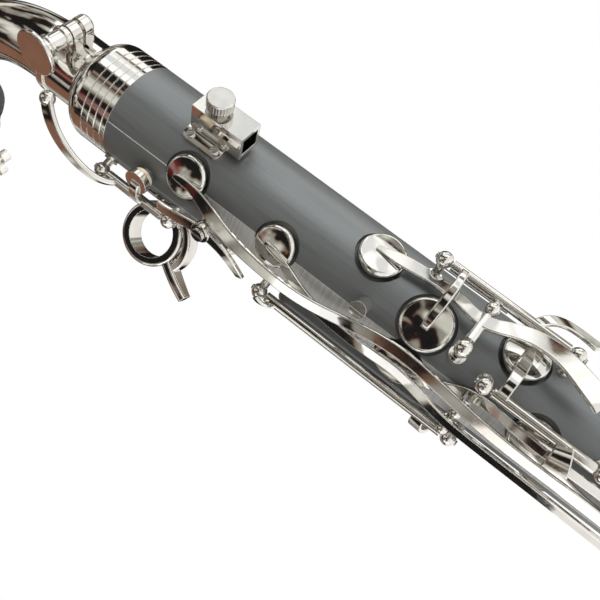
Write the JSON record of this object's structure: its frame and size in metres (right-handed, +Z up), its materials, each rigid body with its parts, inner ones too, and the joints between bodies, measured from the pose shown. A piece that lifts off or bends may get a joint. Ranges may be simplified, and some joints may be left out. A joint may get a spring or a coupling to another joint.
{
  "type": "bass clarinet",
  "caption": "Bass clarinet with a curved metal neck, two black joints, plated rocking and hinged keys, an upturned bell and a floor peg.",
  "frame": {"origin": "on the tube's axis at the top face of the upper joint, where the neck ferrule sits", "axes": "+Z runs up the tube towards the neck, the front of the instrument faces -Y, and +X is the player's left"},
  "size_m": [0.132, 0.3489, 1.0692],
  "materials": {
    "black_body": "satin black with a fine lengthwise grain",
    "brass_lacquer": "plated brass",
    "cane": "pale cane with straight grain",
    "cork": "natural cork",
    "foot_rubber": "matt black rubber",
    "mouthpiece_black": "polished black ebonite",
    "nickel": "nickel plate",
    "pad_skin": "thin pale skin over felt",
    "silver_plate": "polished silver plate",
    "steel_rod": "ground steel"
  },
  "bodies": {
    "tube": {"bell": "silver_plate", "joint_rings": "silver_plate", "lever_guide": "nickel", "ligature_band": "brass_lacquer", "ligature_screws": "brass_lacquer", "lower_joint": "black_body", "lower_posts": "silver_plate", "lower_rods": "steel_rod", "lyre_holder": "silver_plate", "mounting_screws": "nickel", "mouthpiece": "mouthpiece_black", "neck_cork": "cork", "neck_receiver": "silver_plate", "neck_tube": "silver_plate", "needle_springs": "steel_rod", "peg_socket": "silver_plate", "reed": "cane", "strap_ring": "silver_plate", "tenon_corks": "cork", "thumb_rest": "silver_plate", "upper_joint": "black_body", "upper_posts": "silver_plate", "upper_rods": "steel_rod"},
    "trill_key_1": {"trill_key_1": "silver_plate", "trill_pad_1": "pad_skin"},
    "trill_key_2": {"trill_key_2": "silver_plate", "trill_pad_2": "pad_skin"},
    "trill_key_3": {"trill_key_3": "silver_plate", "trill_pad_3": "pad_skin"},
    "trill_key_4": {"trill_key_4": "silver_plate", "trill_pad_4": "pad_skin"},
    "throat_a_key": {"throat_a_key": "silver_plate", "throat_a_pad": "pad_skin"},
    "throat_gsharp_key": {"throat_gsharp_key": "silver_plate", "throat_gsharp_pad": "pad_skin"},
    "cross_vent_key": {"cross_vent_key": "silver_plate", "cross_vent_pad": "pad_skin"},
    "first_finger_plate": {"first_finger_plate": "silver_plate"},
    "second_finger_plate": {"second_finger_plate": "silver_plate"},
    "third_finger_plate": {"third_finger_plate": "silver_plate"},
    "fourth_finger_plate": {"fourth_finger_plate": "silver_plate"},
    "fifth_finger_plate": {"fifth_finger_plate": "silver_plate"},
    "sixth_finger_plate": {"sixth_finger_plate": "silver_plate"},
    "thumb_plate": {"thumb_plate": "silver_plate"},
    "low_f_key": {"low_f_key": "silver_plate"},
    "low_e_key": {"low_e_key": "silver_plate"},
    "low_e_flat_key": {"low_e_flat_key": "silver_plate"},
    "left_low_e_lever": {"left_low_e_lever": "silver_plate"},
    "left_low_f_sharp_lever": {"left_low_f_sharp_lever": "silver_plate"},
    "register_neck_lever": {"register_neck_lever": "silver_plate"},
    "register_rocker": {"register_rocker": "silver_plate"},
    "register_thumb_lever": {"register_thumb_lever": "silver_plate"},
    "neck_lock_screw": {"neck_lock_screw": "silver_plate"},
    "lyre_thumbscrew": {"lyre_thumbscrew": "nickel"},
    "peg_thumbscrew": {"peg_thumbscrew": "nickel"},
    "floor_peg": {"floor_peg": "steel_rod", "peg_foot": "foot_rubber"}
  },
  "joints": [
    {"name": "trill_key_1_rock", "type": "hinge", "parent": "tube", "child": "trill_key_1", "pos_m": [-0.02251, -0.00603, -0.146], "axis": [0.2588, -0.9659, 0], "range_deg": [0, 1.33], "stiffness_Nm_per_rad": 0.05, "springref_deg": -17.19},
    {"name": "trill_key_2_rock", "type": "hinge", "parent": "tube", "child": "trill_key_2", "pos_m": [-0.02251, -0.00603, -0.146], "axis": [0.2588, -0.9659, 0], "range_deg": [0, 1.83], "stiffness_Nm_per_rad": 0.05, "springref_deg": -17.19},
    {"name": "trill_key_3_rock", "type": "hinge", "parent": "tube", "child": "trill_key_3", "pos_m": [-0.01851, -0.01296, -0.197], "axis": [0.5736, -0.8192, 0], "range_deg": [0, 1.09], "stiffness_Nm_per_rad": 0.05, "springref_deg": -17.19},
    {"name": "trill_key_4_rock", "type": "hinge", "parent": "tube", "child": "trill_key_4", "pos_m": [-0.0194, -0.0063, -0.214], "axis": [0.309, -0.9511, 0], "range_deg": [0, 2.24], "stiffness_Nm_per_rad": 0.05, "springref_deg": -17.19},
    {"name": "throat_a_key_rock", "type": "hinge", "parent": "tube", "child": "throat_a_key", "pos_m": [-0.00593, -0.02377, -0.136], "axis": [0.9703, -0.2419, 0], "range_deg": [0, 4.14], "stiffness_Nm_per_rad": 0.05, "springref_deg": -17.19},
    {"name": "throat_gsharp_key_hinge", "type": "hinge", "parent": "tube", "child": "throat_gsharp_key", "pos_m": [0.00629, -0.02523, -0.14], "axis": [0, 0, 1], "range_deg": [0, 8], "stiffness_Nm_per_rad": 0.05, "springref_deg": -17.19},
    {"name": "cross_vent_key_hinge", "type": "hinge", "parent": "tube", "child": "cross_vent_key", "pos_m": [-0.01746, -0.01872, -0.167], "axis": [0, 0, 1], "range_deg": [-7, 0], "stiffness_Nm_per_rad": 0.05, "springref_deg": 17.19},
    {"name": "first_finger_plate_hinge", "type": "hinge", "parent": "tube", "child": "first_finger_plate", "pos_m": [0.0137, -0.0228, -0.197], "axis": [0, 0, 1], "range_deg": [-7.5, 0], "stiffness_Nm_per_rad": 0.05, "springref_deg": 17.19},
    {"name": "second_finger_plate_hinge", "type": "hinge", "parent": "tube", "child": "second_finger_plate", "pos_m": [0.0137, -0.0228, -0.235], "axis": [0, 0, 1], "range_deg": [-7.5, 0], "stiffness_Nm_per_rad": 0.05, "springref_deg": 17.19},
    {"name": "third_finger_plate_hinge", "type": "hinge", "parent": "tube", "child": "third_finger_plate", "pos_m": [0.0137, -0.0228, -0.273], "axis": [0, 0, 1], "range_deg": [-7.5, 0], "stiffness_Nm_per_rad": 0.05, "springref_deg": 17.19},
    {"name": "fourth_finger_plate_hinge", "type": "hinge", "parent": "tube", "child": "fourth_finger_plate", "pos_m": [0.01681, -0.02314, -0.3745], "axis": [0, 0, 1], "range_deg": [-7.5, 0], "stiffness_Nm_per_rad": 0.05, "springref_deg": 17.19},
    {"name": "fifth_finger_plate_hinge", "type": "hinge", "parent": "tube", "child": "fifth_finger_plate", "pos_m": [0.01681, -0.02314, -0.4155], "axis": [0, 0, 1], "range_deg": [-7.5, 0], "stiffness_Nm_per_rad": 0.05, "springref_deg": 17.19},
    {"name": "sixth_finger_plate_hinge", "type": "hinge", "parent": "tube", "child": "sixth_finger_plate", "pos_m": [0.01681, -0.02314, -0.4565], "axis": [0, 0, 1], "range_deg": [-7.5, 0], "stiffness_Nm_per_rad": 0.05, "springref_deg": 17.19},
    {"name": "thumb_plate_hinge", "type": "hinge", "parent": "tube", "child": "thumb_plate", "pos_m": [0.0142, 0.02106, -0.1825], "axis": [0, 0, 1], "range_deg": [0, 7.5], "stiffness_Nm_per_rad": 0.05, "springref_deg": -17.19},
    {"name": "low_f_key_hinge", "type": "hinge", "parent": "tube", "child": "low_f_key", "pos_m": [-0.02516, -0.01338, -0.535], "axis": [0, 0, 1], "range_deg": [0, 7.5], "stiffness_Nm_per_rad": 0.05, "springref_deg": -17.19},
    {"name": "low_e_key_hinge", "type": "hinge", "parent": "tube", "child": "low_e_key", "pos_m": [0.02516, -0.01338, -0.592], "axis": [0, 0, 1], "range_deg": [-7.5, 0], "stiffness_Nm_per_rad": 0.05, "springref_deg": 17.19},
    {"name": "low_e_flat_key_hinge", "type": "hinge", "parent": "tube", "child": "low_e_flat_key", "pos_m": [-0.02848, -0.001, -0.649], "axis": [0, 0, 1], "range_deg": [0, 7.5], "stiffness_Nm_per_rad": 0.05, "springref_deg": -17.19},
    {"name": "left_low_e_lever_hinge", "type": "hinge", "parent": "tube", "child": "left_low_e_lever", "pos_m": [0.02247, -0.01096, -0.257], "axis": [0, 0, 1], "range_deg": [-5, 0], "stiffness_Nm_per_rad": 0.05, "springref_deg": 17.19},
    {"name": "left_low_f_sharp_lever_hinge", "type": "hinge", "parent": "tube", "child": "left_low_f_sharp_lever", "pos_m": [0.02499, -0.00087, -0.257], "axis": [0, 0, 1], "range_deg": [-5, 0], "stiffness_Nm_per_rad": 0.05, "springref_deg": 17.19},
    {"name": "register_thumb_hinge", "type": "hinge", "parent": "tube", "child": "register_thumb_lever", "pos_m": [-0.02121, 0.01035, -0.111], "axis": [0, 0, 1], "range_deg": [-6, 0], "stiffness_Nm_per_rad": 0.05, "springref_deg": 17.19},
    {"name": "register_rocker_turn", "type": "hinge", "parent": "tube", "child": "register_rocker", "pos_m": [-0.02462, -0.00302, -0.049], "axis": [-0.9925, -0.1219, 0], "range_deg": [0, 2.4]},
    {"name": "register_neck_hinge", "type": "hinge", "parent": "tube", "child": "register_neck_lever", "pos_m": [-0.02174, 0.00968, -0.018], "axis": [0, 0, 1], "range_deg": [-4.8, 0]},
    {"name": "neck_lock_screw_turn", "type": "hinge", "parent": "tube", "child": "neck_lock_screw", "pos_m": [0, -0.0176, 0.0298], "axis": [1, 0, 0], "range_deg": [-360, 0]},
    {"name": "lyre_thumbscrew_turn", "type": "hinge", "parent": "tube", "child": "lyre_thumbscrew", "pos_m": [-0.00157, -0.02996, -0.033], "axis": [-0.0523, -0.9986, 0], "range_deg": [0, 360]},
    {"name": "peg_thumbscrew_turn", "type": "hinge", "parent": "tube", "child": "peg_thumbscrew", "pos_m": [0, 0.04, -0.785], "axis": [0, 1, 0], "range_deg": [0, 360]},
    {"name": "floor_peg_slide", "type": "slide", "parent": "tube", "child": "floor_peg", "axis": [0, 0, 1], "range_m": [-0.03, 0.115]}
  ],
  "couplings": [
    {"joint": "register_rocker_turn", "follows": "register_thumb_hinge", "ratio": -0.4},
    {"joint": "register_neck_hinge", "follows": "register_thumb_hinge", "ratio": 0.8}
  ]
}
